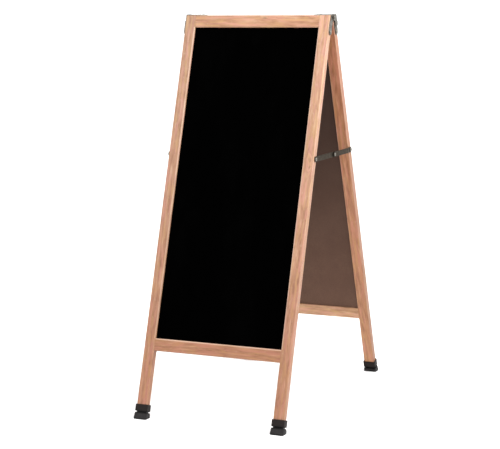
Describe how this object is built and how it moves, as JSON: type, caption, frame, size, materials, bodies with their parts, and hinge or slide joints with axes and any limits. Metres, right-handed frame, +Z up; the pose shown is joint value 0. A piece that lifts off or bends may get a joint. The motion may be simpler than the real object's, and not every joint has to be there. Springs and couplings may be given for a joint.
{
  "type": "sandwich board",
  "caption": "Folding A-frame sidewalk board: two oak frames with black writing boards, hinged at the top, with folding steel stays and rubber feet.",
  "frame": {"origin": "on the floor, midway between the four feet of the open board", "axes": "+X to the right of a person facing the front board, +Y from the front frame to the rear frame, +Z up"},
  "size_m": [0.4744, 0.7972, 1.14],
  "materials": {
    "oak": "clear satin lacquer",
    "hardboard": "bare smooth hardboard",
    "writing_black": "matte black writing coat",
    "rubber": "moulded satin",
    "hinge_steel": "dull zinc plate",
    "stay_steel": "dark oiled steel",
    "screw_steel": "zinc plate"
  },
  "bodies": {
    "front_frame": {"front_left_stile": "oak", "front_left_foot": "rubber", "front_left_hinge_leaf": "hinge_steel", "front_left_hinge_side_screw": "screw_steel", "front_left_hinge_top_screw": "screw_steel", "front_left_stay_screw": "screw_steel", "left_hinge_pin": "hinge_steel", "front_right_stile": "oak", "front_right_foot": "rubber", "front_right_hinge_leaf": "hinge_steel", "front_right_hinge_side_screw": "screw_steel", "front_right_hinge_top_screw": "screw_steel", "front_right_stay_screw": "screw_steel", "right_hinge_pin": "hinge_steel", "front_top_rail": "oak", "front_bottom_rail": "oak", "front_backing_board": "hardboard", "front_writing_sheet": "writing_black"},
    "rear_frame": {"rear_left_stile": "oak", "rear_left_foot": "rubber", "rear_left_hinge_leaf": "hinge_steel", "rear_left_hinge_side_screw": "screw_steel", "rear_left_hinge_top_screw": "screw_steel", "rear_left_stay_screw": "screw_steel", "rear_right_stile": "oak", "rear_right_foot": "rubber", "rear_right_hinge_leaf": "hinge_steel", "rear_right_hinge_side_screw": "screw_steel", "rear_right_hinge_top_screw": "screw_steel", "rear_right_stay_screw": "screw_steel", "rear_top_rail": "oak", "rear_bottom_rail": "oak", "rear_backing_board": "hardboard", "rear_writing_sheet": "writing_black"},
    "left_stay_front": {"left_stay_front_link": "stay_steel"},
    "left_stay_rear": {"left_stay_rear_link": "stay_steel", "left_stay_rivet": "screw_steel"},
    "right_stay_front": {"right_stay_front_link": "stay_steel"},
    "right_stay_rear": {"right_stay_rear_link": "stay_steel", "right_stay_rivet": "screw_steel"}
  },
  "joints": [
    {"name": "fold", "type": "hinge", "parent": "front_frame", "child": "rear_frame", "pos_m": [0, 0, 1.131], "axis": [-1, 0, 0], "range_deg": [0, 35.8]},
    {"name": "left_stay_front_turn", "type": "hinge", "parent": "front_frame", "child": "left_stay_front", "pos_m": [-0.23025, -0.14132, 0.7364], "axis": [1, 0, 0], "range_deg": [0, 67.5]},
    {"name": "left_stay_rear_turn", "type": "hinge", "parent": "rear_frame", "child": "left_stay_rear", "pos_m": [-0.23025, 0.14132, 0.7364], "axis": [-1, 0, 0], "range_deg": [0, 67.5]},
    {"name": "right_stay_front_turn", "type": "hinge", "parent": "front_frame", "child": "right_stay_front", "pos_m": [0.23025, -0.14132, 0.7364], "axis": [1, 0, 0], "range_deg": [0, 67.5]},
    {"name": "right_stay_rear_turn", "type": "hinge", "parent": "rear_frame", "child": "right_stay_rear", "pos_m": [0.23025, 0.14132, 0.7364], "axis": [-1, 0, 0], "range_deg": [0, 67.5]}
  ],
  "couplings": [
    {"joint": "left_stay_front_turn", "follows": "fold", "ratio": 1.8643},
    {"joint": "left_stay_rear_turn", "follows": "fold", "ratio": 1.8643},
    {"joint": "right_stay_front_turn", "follows": "fold", "ratio": 1.8643},
    {"joint": "right_stay_rear_turn", "follows": "fold", "ratio": 1.8643}
  ]
}
